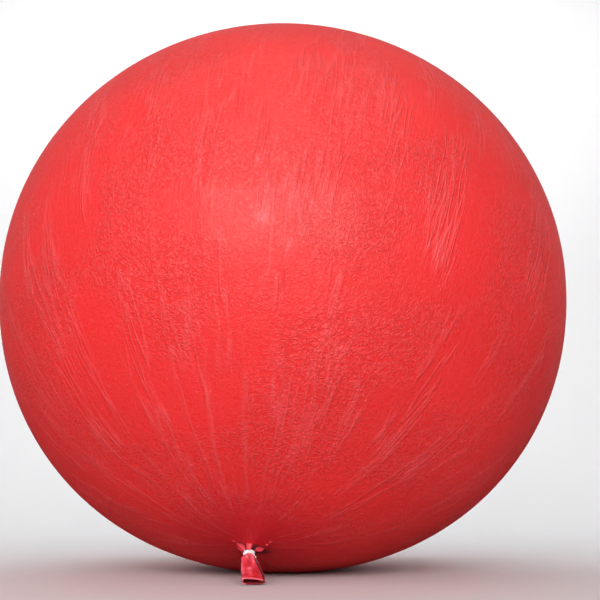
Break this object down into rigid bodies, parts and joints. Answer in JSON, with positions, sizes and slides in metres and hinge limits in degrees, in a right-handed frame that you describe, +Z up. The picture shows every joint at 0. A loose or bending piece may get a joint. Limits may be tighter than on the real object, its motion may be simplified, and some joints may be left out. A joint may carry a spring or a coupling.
{
  "type": "giant round latex balloon",
  "caption": "Giant round latex balloon, blown up, gathered in pleats and tied at the neck with white cord, sitting on a small flat patch with its open, rolled-lip tail on the floor.",
  "frame": {"origin": "middle of the flat patch that the balloon sits on, at the level of what it stands on", "axes": "+Z up; the neck and tail come out low at the front, towards -Y and a little towards -X; +X to the right seen from the front"},
  "size_m": [0.914, 0.914, 0.882],
  "materials": {
    "latex_skin": "stretched satin latex with a powdery bloom",
    "latex_pleats": "gathered satin latex",
    "latex_tail": "slack semi-gloss latex",
    "cord": "wound white cotton cord"
  },
  "bodies": {
    "balloon": {"envelope": "latex_skin", "throat": "latex_pleats"},
    "knot": {"neck_core": "latex_tail", "tie_band": "cord", "tie_knot": "cord"},
    "tail": {"tail_sleeve": "latex_tail", "tail_lip": "latex_tail"}
  },
  "joints": [
    {"name": "neck_sway", "type": "hinge", "parent": "balloon", "child": "knot", "pos_m": [-0.04219, -0.22764, 0.03675], "axis": [0, 0, 1], "range_deg": [-40, 40]},
    {"name": "tail_lift", "type": "hinge", "parent": "knot", "child": "tail", "pos_m": [-0.04282, -0.23106, 0.03068], "axis": [-0.9833, 0.1822, 0], "range_deg": [0, 50]}
  ]
}
